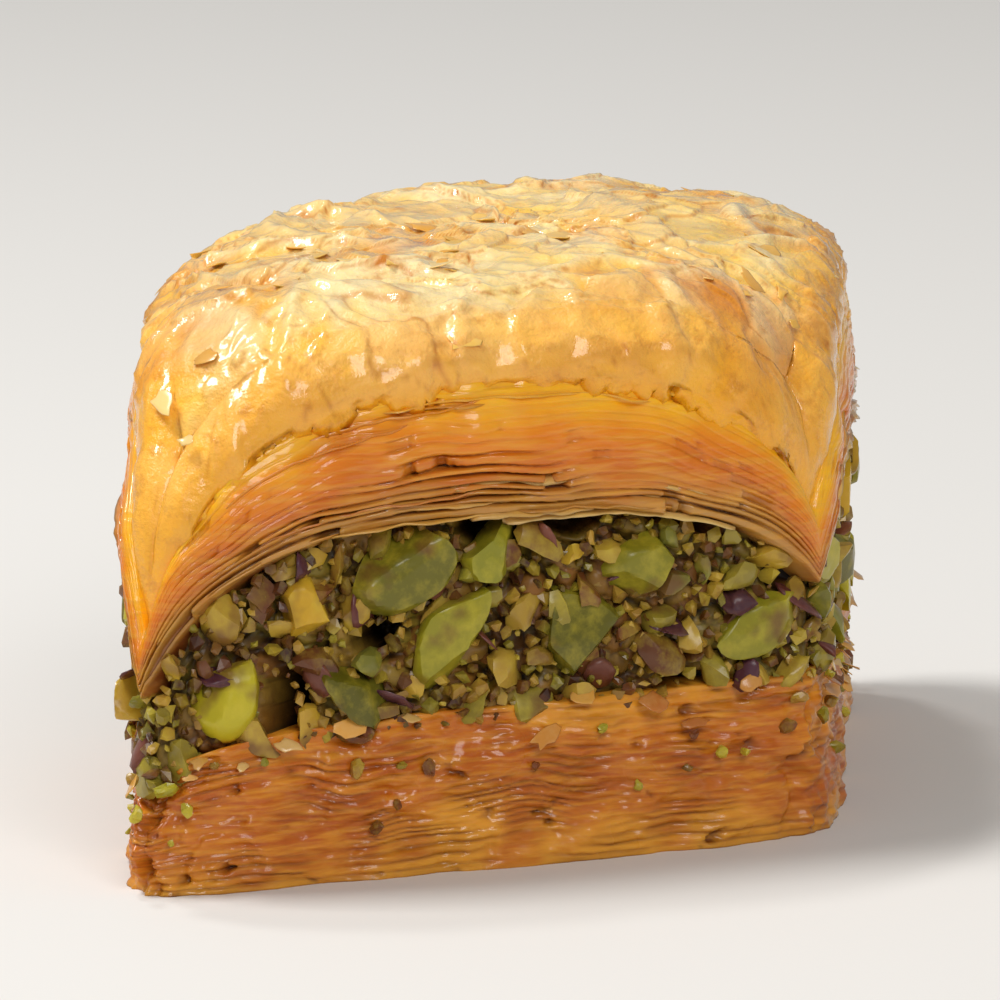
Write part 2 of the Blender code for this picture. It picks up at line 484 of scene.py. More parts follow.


# %% [markdown]
# The crumb is pistachio ground with its brown skins and bound with syrup. Its lumps are
# single bits of nut, so each has a tone of its own, which the mesh carries as an attribute;
# what lies deep between them gets painted shade, nearly black-brown.

# %% Finish: ground pistachio
def ground_nuts():
    """Olive, tan, brown and green crumbs with painted shade in the crevices, moist but not shiny."""
    material, coords = new_material("ground_pistachio_crumb")
    tone = add(material, "Attribute", attribute_name="crumb_tone").outputs["Fac"]
    deep = add(material, "Attribute", attribute_name="crevice_shade").outputs["Fac"]
    crumbs = add(material, "ValToRGB", {"Fac": tone}, stops=[
        (0.0, "#5A3416"), (0.25, "#86581F"), (0.45, "#8A6E26"), (0.62, "#7A6A22"),
        (0.8, "#9C7A2C"), (1.0, "#B4923A")])
    speck = add(material, "TexNoise", {"Vector": coords, "Scale": per_mm(0.7), "Detail": 3})
    fine = add(material, "MapRange", {"Value": speck.outputs["Fac"], "From Min": 0.4,
                                      "From Max": 0.65, "To Max": 0.5})
    mottled = mix(material, fine.outputs["Result"], crumbs.outputs["Color"], "#6B4A20")
    # Painted shade: crevices and pockets are painted nearly black-brown.
    colour = mix(material, deep, mottled, "#1E0D06")
    bump = add(material, "Bump", {"Height": speck.outputs["Fac"], "Strength": 0.35,
                                  "Distance": 0.3 * MM})
    return surface(material, {
        "Base Color": colour, "Roughness": 0.5, "IOR": 1.46, "Normal": bump.outputs["Normal"],
        "Specular IOR Level": 0.3, "Coat Weight": 0.15, "Coat Roughness": 0.2, "Subsurface Weight": 0.1,
        "Subsurface Scale": 1 * MM, "Subsurface Radius": (0.8, 0.6, 0.2)})


# %% [markdown]
# A pistachio kernel is green to the heart. Cut faces are clean and waxy, and a thin dull
# skin stays on some sides. Each piece carries its own colour, and the material only breaks
# it up with faint paler clouds.

# %% Finish: kernel pieces and thin brown skins
def kernel(name, roughness, coat, cloud_colour, cloud, stained):
    """The piece's own colour, clouded a little and stained brown in places, where the thin
    skin is left on it, under a soft moist gloss."""
    material, coords = new_material(name)
    own = add(material, "Attribute", attribute_name="own_colour").outputs["Color"]
    cloudy = add(material, "TexNoise", {"Vector": coords, "Scale": per_mm(1.1), "Detail": 4,
                                        "Roughness": 0.65})
    amount = add(material, "MapRange", {"Value": cloudy.outputs["Fac"], "From Min": 0.45,
                                        "From Max": 0.7, "To Max": cloud})
    clouded = mix(material, amount.outputs["Result"], own, cloud_colour)
    stain = add(material, "TexNoise", {"Vector": coords, "Scale": per_mm(2.6), "Detail": 3})
    brown = add(material, "MapRange", {"Value": stain.outputs["Fac"], "From Min": 0.54,
                                       "From Max": 0.66, "To Max": stained})
    colour = mix(material, brown.outputs["Result"], clouded, "#6A3E22")
    bump = add(material, "Bump", {"Height": cloudy.outputs["Fac"], "Strength": 0.15,
                                  "Distance": 0.2 * MM})
    return surface(material, {
        "Base Color": colour, "Roughness": roughness, "IOR": 1.46,
        "Specular IOR Level": 0.35, "Normal": bump.outputs["Normal"],
        "Coat Weight": coat, "Coat Roughness": 0.15,
        "Subsurface Weight": 0.15, "Subsurface Scale": 1.5 * MM,
        "Subsurface Radius": (0.9, 0.75, 0.2)})


def paper_floor():
    """Matt off-white paper for the studio floor."""
    material, _ = new_material("studio_paper")
    return surface(material, {"Base Color": linear("#DDDAD5"), "Roughness": 0.8})


GLAZED_FILO = glazed_filo()
# Each stack's dark colour is painted shade in its grooves, and it also darkens some leaves at random.
CUT_TOP = cut_leaves("syrup_soaked_cut_filo", [
    (0.0, "#CC984A"), (0.14, "#CC8630"), (0.34, "#D26E18"), (0.6, "#EA860C"), (0.85, "#FFB814")],
    "#6A2C0A", "#EAA636", 0.2, 0.55)
# The pale gold of the lowest stop is painted light shining through the wet lower edge, laid on the
# base's own amber.
CUT_BASE = cut_leaves("pressed_soaked_filo", [
    (0.0, "#E2982E"), (0.2, "#C6701C"), (0.5, "#B65A14"), (0.75, "#C46A16"), (1.0, "#DE9226")],
    "#5A2208", "#EAA232", 0.42, 0.28)
CRUMB = ground_nuts()
KERNEL = kernel("pistachio_kernel", 0.36, 0.25, "#D8C23A", 0.35, 0.75)
NUT_SKIN = kernel("pistachio_seed_coat", 0.42, 0.2, "#8A5A4A", 0.3, 0.0)
FLAKE = kernel("dry_filo_flake", 0.3, 0.5, "#EFCB88", 0.25, 0.0)
floor.data.materials.append(paper_floor())
print("materials:", len(bpy.data.materials))


def finish(piece, material, slot, *stands_for):
    """Gives a piece its material, puts it under the root body and hides the frame's solids that it
    stands for; slot is not used.
    """
    piece.data.materials.append(material)
    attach(piece, "root")
    if stands_for:
        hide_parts(*stands_for)


# %% [markdown]
# The skin. It could be a subdivided plane with a cloth wrinkle, but then its edge would be
# a bare line. Here one surface runs from the middle of the dome out to the cut, rolls over
# a round shoulder, hangs down over the edge of the stack by a ragged millimetre or two and
# turns back underneath. Then it is crumpled: broad dents, sharp creases, torn upper leaves.

# %% The glazed skin
SKIN_LEAN = 0.5 * MM                     # how far the shoulder stands in from the cut below
SHOULDER = 1.3 * MM                      # how far in from there the skin starts to roll over
SHOULDER_DROP = 0.7 * MM                 # and how far it has come down when it is upright
SKIN_THICKNESS = 0.3 * MM
DOME_ROWS = 100
SHOULDER_ROWS = 11


def ragged_hang():
    """How far the skin hangs down the cut below its shoulder, torn along its edge."""
    circle = np.concatenate([RIM * SIDE, np.zeros((AROUND, 1))], axis=1)
    torn = 0.4 + 0.7 * waves(circle, 4 * MM, 3) + 0.6 * layered(circle, 1.3 * MM, 4, 3)
    torn = torn * (1 - 0.7 * corner_share(RIM))
    return np.clip(torn, 0.04, 1.7) * MM, 0.25 * MM * waves(circle, 3 * MM, 5)


def skin_rings():
    """Rings over the dome, then round the shoulder, a part of an ellipse that ends upright at
    the height of the cut's upper edge, then down the cut and back inside under the skin."""
    edge = RIM
    hang, flare = ragged_hang()
    near_corner = corner_share(edge, 3)
    inset = SKIN_LEAN + SHOULDER
    rings, curl = [], []
    for share in np.linspace(0.012, 1, DOME_ROWS) ** 0.92:
        stands = inset * share ** 3
        height = level("skin", edge * share * (1 - stands / SIDE_WAY))
        rings.append(place("skin", edge * share, stands, height))
        curl.append(np.full(AROUND, 0.5 * share ** 12))
    upper = rings[-1][:, 2]
    lower = level("skin", edge) - SHOULDER_DROP
    start = np.radians(24 + 30 * near_corner)
    for step in np.linspace(0, 1, SHOULDER_ROWS + 1)[1:]:
        turn = start + (np.pi / 2 - start) * step
        out = (np.sin(turn) - np.sin(start)) / (1 - np.sin(start))
        drop = (np.cos(start) - np.cos(turn)) / np.cos(start)
        rings.append(place("skin", edge, inset - SHOULDER * out, upper - (upper - lower) * drop))
        curl.append(np.full(AROUND, 0.5 + 0.35 * step))
    for down in (0.25, 0.5, 0.75, 0.95, 1.0):
        rings.append(place("skin", edge, SKIN_LEAN - flare * down, lower - hang * down))
        curl.append(np.full(AROUND, 0.85 + 0.15 * down))
    shown = len(rings)
    for inward, up in ((0.2, 0.02), (0.35, 0.3), (0.5, 1.2), (1.5, 2.2), (6.0, 3.0)):
        pull = 1 - inward * MM / SIDE_WAY
        rings.append(rings[shown - 1] * [pull, pull, 1] + np.array([0, 0, up * MM]))
        curl.append(np.ones(AROUND))
    return np.stack(rings), np.stack(curl), shown


def crumple(rings, shown):
    """Moves the skin along its own facing: broad dents, flat facets with crests between them
    as in crumpled foil, fine creases where warped noise crosses zero, blisters, steps where
    an upper leaf has torn off, and fine lines of leaf edges that run along the rim."""
    facing = outward(rings)
    warp = np.stack([layered(rings, 6 * MM, seed, 2) for seed in (21, 22, 23)], axis=-1)
    bent = rings + warp * 1.6 * MM
    dents = 0.4 * MM * waves(rings, 9 * MM, 31) + 0.25 * MM * waves(bent, 4.5 * MM, 32)
    far, border, _ = lumps(bent * [1, 1, 0.6], 5.2 * MM, 38)
    crest = (1 - ease(border, 0, 0.38)) ** 2
    crease = ridges(bent, 5 * MM, 33) ** 3
    fine = ridges(bent, 2.2 * MM, 34) ** 2
    blister = np.clip(waves(rings, 2.8 * MM, 35) - 0.42, 0, 1)
    leaf_steps = [ease(layered(bent, size * MM, seed, 3), start, start + 0.035)
                  for size, seed, start in ((7, 36, 0.1), (9, 43, -0.25), (6, 44, 0.3), (8, 46, 0.0))]
    torn = leaf_steps[0]
    toasted = sum(4 * part * (1 - part) for part in leaf_steps)
    move = dents + MM * (0.22 * crest + 0.24 * (0.5 - far) + 0.16 * crease + 0.09 * fine)
    move = move + MM * (0.5 * blister + 0.14 * sum(leaf_steps))
    scaly = ridges(bent * [1, 1, 2.2], 1.7 * MM, 39) ** 2 * ease(waves(rings, 6 * MM, 40), -0.3, 0.4)
    move = move + 0.15 * MM * scaly + 0.04 * MM * waves(rings, 0.7 * MM, 37)
    path = np.cumsum(np.linalg.norm(np.diff(rings, axis=0, prepend=rings[:1]), axis=-1), axis=0)
    from_rim = path - path[DOME_ROWS + SHOULDER_ROWS - 1]
    flow = np.concatenate([rings[..., :2], 5 * from_rim[..., None]], axis=-1)
    strata = ridges(flow, 3.2 * MM, 41) ** 2 * ease(from_rim, -5 * MM, -1 * MM)
    strata = strata * ease(waves(rings, 5 * MM, 42), -0.5, 0.3)
    move = move + 0.2 * MM * strata
    toasted = toasted + 0.8 * strata
    row = np.arange(len(rings))[:, None]
    near_rim = ease(row, 0.7 * DOME_ROWS, DOME_ROWS)
    calm = (1 - 0.55 * near_rim * corner_share(RIM)) * (row < shown)
    calm = calm * (1 - 0.4 * ease(row, DOME_ROWS + 4, DOME_ROWS + 14))
    pale = (crest + 0.5 * crease + 0.5 * fine) * calm
    return rings + facing * (move * calm)[..., None], pale, torn, toasted * calm


skin_points, skin_curl, shown_rows = skin_rings()
skin_points, skin_crest, skin_torn, skin_toasted = crumple(skin_points, shown_rows)
skin = closed_rings("filo_skin", skin_points, {
    "curl": skin_curl, "crest": 0.5 * skin_crest, "torn": 0.6 * skin_torn,
    "toasted": 0.6 * skin_toasted})
finish(skin, GLAZED_FILO, "baked_pastry")

# %% [markdown]
# The cut sides. Cutting real sheets and pressing them together would take a
# simulation; modelling each as a thin box would look like a staircase. A cut side is nearly
# upright, so it is a surface with a height: how far each place stands out of the cut. It is
# fine enough that every leaf has its own edge, groove, wander and chips, and because the
# leaves are counted along the arched layer, their lines arch as the dough does.

# %% Edges of leaves
def leaf_lottery(number, seed):
    """A random number from 0 to 1 for each leaf, by the leaf's number."""
    return lottery(np.stack([number, number * 0, number * 0], axis=-1).astype(np.int64), seed)


def leaf_edges(spots, rise, leaves, seed, wander, warp):
    """Counts leaves by random thicknesses along rise, bent by noise, and gives the leaf's
    number, the place across it from 0 to 1, and how far its edge reaches out, from -1 to 1."""
    draw = np.random.default_rng(seed)
    thickness = draw.uniform(0.55, 1.5, leaves)
    steps = np.concatenate([[0], np.cumsum(thickness)]) / thickness.sum()
    bent = rise + warp * layered(spots, 6 * MM, seed + 1, 2) * np.sin(np.pi * rise)
    count = np.interp(np.clip(bent, 0, 1), steps, np.arange(leaves + 1))
    number = np.minimum(np.floor(count), leaves - 1)
    across = count - number
    lane = np.stack([spots[..., 0], spots[..., 1], number * 37 * MM], axis=-1)
    reach = wander * layered(lane, 3.2 * MM, seed + 3, 3)
    return number, across, reach, lane


def side_grid(rows, low, high):
    """The rows of a side from the top down: each point's (u, v), rise and height."""
    edge = np.broadcast_to(RIM, (rows, AROUND, 2))
    rise = np.broadcast_to(np.linspace(1, 0, rows)[:, None], (rows, AROUND))
    return edge, rise, low + (high - low) * rise


def side_rings(side):
    """A side closed with a ring further in, above its first row and below its last."""
    return np.concatenate([side[:1] * [0.8, 0.8, 1], side, side[-1:] * [0.8, 0.8, 1]])


def padded_value(value):
    """A value per point of the side, with the lid's and the floor's ring added."""
    return np.concatenate([value[:1], value, value[-1:]])


# %% [markdown]
# The top stack: fifteen leaves. Those by the nuts stand apart with broken edges and gaps,
# which painted shade darkens; those under the skin are glued together by syrup to one smooth band.

# %% The stack of top leaves
TOP_LEAVES = 15
TOP_ROWS = 138
nuts_top = level("filling", RIM)
skin_edge = level("skin", RIM)


def top_stack():
    """Outward way = wander of each leaf - gap between leaves - chips, with all three
    stronger near the nuts. How deep a place lies in a gap or chip is also kept for painted shade."""
    low, high = nuts_top + 0.1 * MM, skin_edge - SKIN_THICKNESS
    edge, rise, height = side_grid(TOP_ROWS, low, high)
    roll = np.clip((height - high + SHOULDER_DROP) / SHOULDER_DROP, 0, 0.98)
    lean = SKIN_LEAN * rise ** 3 + SHOULDER * (1 - np.sqrt(1 - roll ** 2))
    spots = place("skin", edge, lean, height)
    number, across, reach, lane = leaf_edges(spots, rise, TOP_LEAVES, 51, 0.24 * MM, 0.16)
    opened = 1 - ease(rise + 0.35 * waves(spots, 6 * MM, 55), 0.06, 0.42)
    gap = 1 - ease(np.minimum(across, 1 - across), 0.0, 0.2 + 0.1 * opened)
    depth = (0.03 + 0.7 * opened * (0.4 + 0.9 * waves(lane, 4 * MM, 56))) * MM
    depth = np.clip(depth, 0.015 * MM, 1.0 * MM)
    chip = ease(layered(lane, 2.6 * MM, 57, 3), 0.42, 0.5) * (0.15 + 0.55 * opened) * MM
    swell = 0.32 * MM * layered(spots, 5 * MM, 58, 3) + 0.25 * MM * np.sin(np.pi * rise)
    grain = 0.03 * MM * waves(spots * [1, 1, 2.5], 0.6 * MM, 60)
    calm = 1 - 0.8 * corner_share(edge)
    outside = (reach * (0.2 + 0.9 * opened) - gap * depth - chip + swell) * calm + grain
    rings = side_rings(place("skin", edge, lean - outside, height))
    # Painted shade: the deeper a place lies in a gap or chip, the darker it is painted.
    groove_shade = np.clip(gap * depth / (0.7 * MM) + 0.5 * chip / MM, 0, 1)
    tone = leaf_lottery(number, 61)
    return rings, {"rise": padded_value(rise), "groove_shade": padded_value(groove_shade),
                   "leaf_tone": padded_value(tone * opened)}


top_points, top_values = top_stack()
top_leaves = closed_rings("top_leaves", top_points, top_values)
finish(top_leaves, CUT_TOP, "baked_pastry", "pastry_top")

# %% [markdown]
# The base: nineteen leaves under the weight of the nuts, soaked until they are nearly
# one. Only fine lines, small tears and a few lifted edges tell that they were leaves.

# %% The pressed base
BASE_LEAVES = 19
BASE_ROWS = 104
BASE_SPREAD = 0.4 * MM


def pressed_base():
    """Outward way = soft lumps + short level fibres + shallow leaf lines that come and go
    - torn pits, and the four corners crumble. At the floor only the lumps are left, so that
    the bottom edge wanders."""
    low, high = np.zeros(AROUND), level("base", RIM) + 0.35 * MM
    edge, rise, height = side_grid(BASE_ROWS, low, high)
    spots = place("base", edge, BASE_SPREAD * rise, height)
    number, across, reach, _ = leaf_edges(spots, rise, BASE_LEAVES, 71, 0.13 * MM, 0.12)
    shows = ease(layered(spots * [1, 1, 2], 3.5 * MM, 73, 2), -0.35, 0.45)
    gap = (1 - ease(np.minimum(across, 1 - across), 0.0, 0.3)) * shows
    pit = ease(layered(spots * [1, 1, 1.6], 1.5 * MM, 76, 3), 0.55, 0.95)
    swell = 0.42 * MM * layered(spots * [1, 1, 1.5], 4.2 * MM, 77, 4)
    fibre = 0.13 * MM * layered(spots * [1, 1, 2], 1.5 * MM, 78, 3)
    fibre = fibre + 0.07 * MM * ridges(spots * [1, 1, 2.4], 1.1 * MM, 79)
    fibre = fibre + 0.16 * MM * layered(spots, 1.7 * MM, 75, 3)
    calm = 1 - 0.5 * corner_share(edge)
    raised = ease(rise, 0, 0.06)
    outside = (swell + (reach * shows - 0.12 * MM * gap - 0.3 * MM * pit + fibre) * raised) * calm
    crumbled = np.clip(0.6 + 0.9 * layered(spots, 2.0 * MM, 80, 3), 0.2, 1.5)
    outside = outside - 1.1 * MM * crumbled * corner_share(edge, 9)
    rings = side_rings(place("base", edge, BASE_SPREAD * rise + 0.1 * MM - outside, height))
    tone = leaf_lottery(number, 79)
    # Painted shade in the leaf lines and torn pits of the base.
    return rings, {"rise": padded_value(rise), "groove_shade": padded_value(0.45 * gap + 0.6 * pit),
                   "leaf_tone": padded_value(tone * shows * 0.6)}


base_points, base_values = pressed_base()
base_leaves = closed_rings("base_leaves", base_points, base_values)
finish(base_leaves, CUT_BASE, "soaked_pastry", "pastry_base")

# %% [markdown]
# The crumb. Ground nut is lumps of many sizes with pockets between, which is what cellular
# noise draws: each cell is one lump, high in its middle and low at its border.

# %% The ground pistachio
CRUMB_ROWS = 96
NUT_INSET = 0.9 * MM


def pockets(spots, rise):
    """Where nothing fills the crumb: 1 in the hollows, which gather under the top leaves."""
    return ease(layered(spots, 4.4 * MM, 83, 2) + 0.35 * ease(rise, 0.72, 0.95), 0.34, 0.52)


def crumb_relief(spots, rise):
    """Outward way of the crumb: lumps of 2.3 and 0.95 mm, low noise, and deep pockets."""
    far, border, mark = lumps(spots, 2.3 * MM, 81)
    far_small, border_small, mark_small = lumps(spots, 0.95 * MM, 82)
    pocket = pockets(spots, rise)
    relief = 0.75 * (0.55 - far) * ease(border, 0, 0.3) - 0.35 * (1 - ease(border, 0, 0.18))
    relief = relief + 0.28 * (0.5 - far_small) + 0.12 * ease(border_small, 0, 0.2)
    relief = relief - 1.9 * pocket + 0.3 * waves(spots, 5 * MM, 84)
    tone = np.clip(0.6 * mark + 0.4 * mark_small, 0, 1)
    # Painted shade: how deep a place lies in a pocket or between lumps.
    crevice_shade = np.clip(0.9 * pocket + 0.6 * (1 - ease(border, 0, 0.16))
                      + 0.35 * (1 - ease(border_small, 0, 0.12)), 0, 1)
    return relief * MM, tone, crevice_shade


def crumb_band():
    """The cut side of the filling, with that relief."""
    low, high = level("base", RIM) - 0.1 * MM, nuts_top + 0.5 * MM
    edge, rise, height = side_grid(CRUMB_ROWS, low, high)
    spots = place("filling", edge, 0.0, height)
    relief, tone, crevice_shade = crumb_relief(spots, rise)
    calm = 1 - 0.8 * corner_share(edge)
    outside = np.minimum(relief, 0.5 * MM) * calm - NUT_INSET
    rings = side_rings(place("filling", edge, -outside, height))
    return rings, {"crumb_tone": padded_value(tone), "crevice_shade": padded_value(crevice_shade)}


crumb_points, crumb_values = crumb_band()
crumb = closed_rings("nut_crumb", crumb_points, crumb_values)
finish(crumb, CRUMB, "ground_pistachio", "pistachio_filling")

# %% [markdown]
# Kernel pieces. A chopped nut breaks along flat faces, so each piece starts as a small
# sphere of triangles that is pressed flat against a few random planes, then stretched. The
# last plane is the knife's: whatever stands out of the cut side is pressed back to it.

# %% Chopped pieces
def ball(detail):
    """The points and triangles of an icosphere, from Blender's own primitive."""
    shape = bmesh.new()
    bmesh.ops.create_icosphere(shape, subdivisions=detail, radius=1)
    points = np.array([vert.co for vert in shape.verts])
    faces = np.array([[vert.index for vert in face.verts] for face in shape.faces])
    shape.free()
    return points, faces


def turned(draw, count):
    """Random turns, as 3 x 3 matrices, from random four-part numbers of length one."""
    q = draw.normal(size=(count, 4))
    w, x, y, z = (q / np.linalg.norm(q, axis=1, keepdims=True)).T
    return np.stack([
        np.stack([1 - 2 * (y * y + z * z), 2 * (x * y - z * w), 2 * (x * z + y * w)], -1),
        np.stack([2 * (x * y + z * w), 1 - 2 * (x * x + z * z), 2 * (y * z - x * w)], -1),
        np.stack([2 * (x * z - y * w), 2 * (y * z + x * w), 1 - 2 * (x * x + y * y)], -1)], -2)


def chopped(draw, count, detail, planes):
    """Balls cut by planes: each point that lies beyond a plane is moved back onto it."""
    points, faces = ball(detail)
    points = np.broadcast_to(points, (count,) + points.shape).copy()
    for _ in range(planes):
        facing = draw.normal(size=(count, 1, 3))
        facing /= np.linalg.norm(facing, axis=-1, keepdims=True)
        beyond = (points * facing).sum(-1, keepdims=True) - draw.uniform(0.35, 0.75, (count, 1, 1))
        points -= np.maximum(beyond, 0) * facing
    return points, faces


def on_side(way, rise, inset):
    """Points of the filling's cut side, at a way round from 0 to 4 and a rise from 0 to 1."""
    uv, side = round_the_side(way)
    low, high = level("base", uv), level("filling", uv)
    return place("filling", uv, inset, low + (high - low) * rise), uv, side


SIDE_FACING = np.array([[ALONG_U[1], -ALONG_U[0], 0], [ALONG_V[1], -ALONG_V[0], 0],
                        [-ALONG_U[1], ALONG_U[0], 0], [-ALONG_V[1], ALONG_V[0], 0]])
SIDE_FACING = SIDE_FACING / np.linalg.norm(SIDE_FACING, axis=1, keepdims=True)


def scattered(draw, count, apart, low, high):
    """Places round the side that stay apart and out of the pockets: many are drawn, and each
    is kept if no earlier one lies nearer than apart."""
    way, rise = draw.uniform(0, 4, count * 12), draw.uniform(low, high, count * 12)
    spots, _, _ = on_side(way, rise, 0.0)
    free = pockets(spots, rise) < draw.uniform(0.3, 1.0, len(way))
    way, rise, spots = way[free], rise[free], spots[free]
    kept = np.zeros(0, int)
    for number in range(len(way)):
        near = np.linalg.norm(spots[kept] - spots[number], axis=1) < apart
        if len(kept) < count and not near.any():
            kept = np.append(kept, number)
    return way[kept], rise[kept]


SUNK = 0.3                               # share of its size by which a piece lies further in
PRESSED = 0.92                           # share of what stands out that the knife takes back


def bits(name, seed, count, apart, detail, planes, sizes, shape, proud, palette, rises, inset,
         rough=0.05, grain=0.0):
    """One joined mesh of chopped pieces along the cut of the filling."""
    draw = np.random.default_rng(seed)
    way, rise = scattered(draw, count, apart, *rises)
    number = len(way)
    points, faces = chopped(draw, number, detail, planes)
    points = points + rough * draw.normal(size=points.shape)
    size = draw.uniform(*sizes, (number, 1, 1)) / 2
    stretch = np.stack([np.ones(number), draw.uniform(*shape[0], number),
                        draw.uniform(*shape[1], number)], -1)[:, None]
    points = np.einsum("nij,nkj->nki", turned(draw, number), points * size * stretch)
    spots, _, side = on_side(way, rise, inset + SUNK * size[:, 0, 0])
    facing = SIDE_FACING[side][:, None]
    points = points + spots[:, None]
    cut_spots, _, _ = on_side(way, rise, 0.0)
    stands = draw.uniform(*proud, (number, 1, 1))
    beyond = ((points - cut_spots[:, None]) * facing).sum(-1, keepdims=True) - stands
    points = points - PRESSED * np.maximum(beyond, 0) * facing
    if grain:
        away = points - points.mean(axis=1, keepdims=True)
        away /= np.linalg.norm(away, axis=-1, keepdims=True)
        points = points + away * grain * layered(points, 1.2 * MM, seed, 3)[..., None]
    weights = np.array([share for _, share in palette])
    pick = draw.choice(len(palette), number, p=weights / weights.sum())
    colour = np.array([linear(hexed) for hexed, _ in palette])[pick]
    colour[:, :3] *= draw.uniform(0.8, 1.2, (number, 1))
    per_point = np.repeat(colour[:, None], points.shape[1], axis=1)
    offsets = np.arange(number)[:, None, None] * points.shape[1]
    made = mesh_from(name, points.reshape(-1, 3), [(faces + offsets).reshape(-1, 3)],
                     colours={"own_colour": per_point.reshape(-1, 4)})
    print(name, number, "pieces,", number * len(faces), "triangles")
    return made


kernels = bits("pistachio_pieces", 101, 66, 3.9 * MM, 4, 9, (3.2 * MM, 6.0 * MM),
               ((0.6, 0.9), (0.45, 0.75)), (-0.15 * MM, 0.5 * MM),
               [("#B2A41E", 4), ("#C2AC20", 3), ("#8C841C", 3), ("#C89C28", 1), ("#666014", 3),
                ("#7E7A1C", 2)],
               (0.16, 0.84), 0.1 * MM, rough=0.0, grain=0.07 * MM)
kernels.data.set_sharp_from_angle(angle=math.radians(28))
finish(kernels, KERNEL, "ground_pistachio")
chips = bits("pistachio_chips", 102, 330, 1.5 * MM, 2, 7, (1.3 * MM, 3.0 * MM),
             ((0.5, 0.9), (0.35, 0.7)), (-0.3 * MM, 0.5 * MM),
             [("#8E7C2C", 4), ("#A88632", 4), ("#7C5A22", 3), ("#B9922F", 2), ("#74702A", 2),
              ("#6A3C1C", 3)], (0.03, 0.97), 0.3 * MM)
chips.data.set_sharp_from_angle(angle=math.radians(32))
finish(chips, KERNEL, "ground_pistachio")
grains = bits("nut_grains", 103, 2500, 0.48 * MM, 1, 3, (0.35 * MM, 1.0 * MM),
              ((0.6, 1.0), (0.5, 0.9)), (-0.3 * MM, 0.4 * MM),
              [("#96702A", 4), ("#AE8634", 3), ("#603A16", 6), ("#7E7024", 3), ("#40200F", 4),
               ("#A88E30", 2)], (-0.02, 1.0), 0.5 * MM, rough=0.16)
grains.data.shade_flat()
finish(grains, KERNEL, "ground_pistachio")
skins = bits("nut_skins", 104, 60, 3.0 * MM, 2, 4, (1.2 * MM, 2.8 * MM),
             ((0.5, 0.9), (0.1, 0.2)), (-0.2 * MM, 0.4 * MM),
             [("#5A2A26", 3), ("#6E3A2A", 3), ("#4A2430", 2)], (0.06, 0.94), 0.1 * MM)
finish(skins, NUT_SKIN, "ground_pistachio")
stray = bits("stray_crumbs", 105, 90, 1.1 * MM, 2, 5, (0.4 * MM, 1.1 * MM),
             ((0.6, 1.0), (0.5, 0.9)), (0.1 * MM, 0.5 * MM),
             [("#96702A", 3), ("#B0A030", 3), ("#6E3A18", 3), ("#8C841C", 2)],
             (-0.55, 0.02), 0.0, rough=0.08)
stray.data.shade_flat()
finish(stray, KERNEL, "ground_pistachio")

# %% [markdown]
# Filo breaks as soon as it is dry. A few leaves have come away from the cut and stand out
# of it as thin strips, and shards of them lie on the base's edge and lift off the skin. All
# are closed shells, thin towards the edge, so that they have two faces and a sharp rim.

# %% Peeled leaves and flakes
def joined_shells(name, shells, colour):
    """One mesh of closed shells, (pieces, rows, columns, 3), each closed by a point at both
    ends. A shell whose volume comes out negative has its faces turned round."""
    pieces, rows, columns = shells.shape[:3]
    ends = np.stack([shells[:, 0].mean(axis=1), shells[:, -1].mean(axis=1)], axis=1)
    points = np.concatenate([shells.reshape(pieces, -1, 3), ends], axis=1)
    quads, fans = ring_faces(rows, columns)
    split = np.concatenate([quads[:, [0, 1, 2]], quads[:, [0, 2, 3]], fans])
    corner = points[:, split] - points.mean(axis=1)[:, None, None]
    volume = np.einsum("ptk,ptk->p", corner[:, :, 0], np.cross(corner[:, :, 1], corner[:, :, 2]))
    faces = np.where((volume < 0)[:, None, None], split[None, :, ::-1], split[None])
    faces = faces + np.arange(pieces)[:, None, None] * points.shape[1]
    per_point = np.repeat(colour[:, None], points.shape[1], axis=1)
    made = mesh_from(name, points.reshape(-1, 3), [faces.reshape(-1, 3)],
                     colours={"own_colour": per_point.reshape(-1, 4)})
    made.data.shade_smooth()
    print(name, pieces, "shells,", pieces * len(split), "triangles")
    return made


def picked(draw, palette, count):
    """A colour from the palette for each of count pieces, a little lighter or darker."""
    colour = np.array([linear(hexed) for hexed in palette])[draw.integers(len(palette), size=count)]
    colour[:, :3] *= draw.uniform(0.85, 1.12, (count, 1))
    return colour


def cut_point(way, rise, out):
    """A point of the top stack's cut side that stands out of it by out."""
    uv, _ = round_the_side(way)
    low, high = level("filling", uv), level("skin", uv) - SHOULDER_DROP
    return place("skin", uv, SKIN_LEAN * rise ** 3 - out, low + (high - low) * rise)


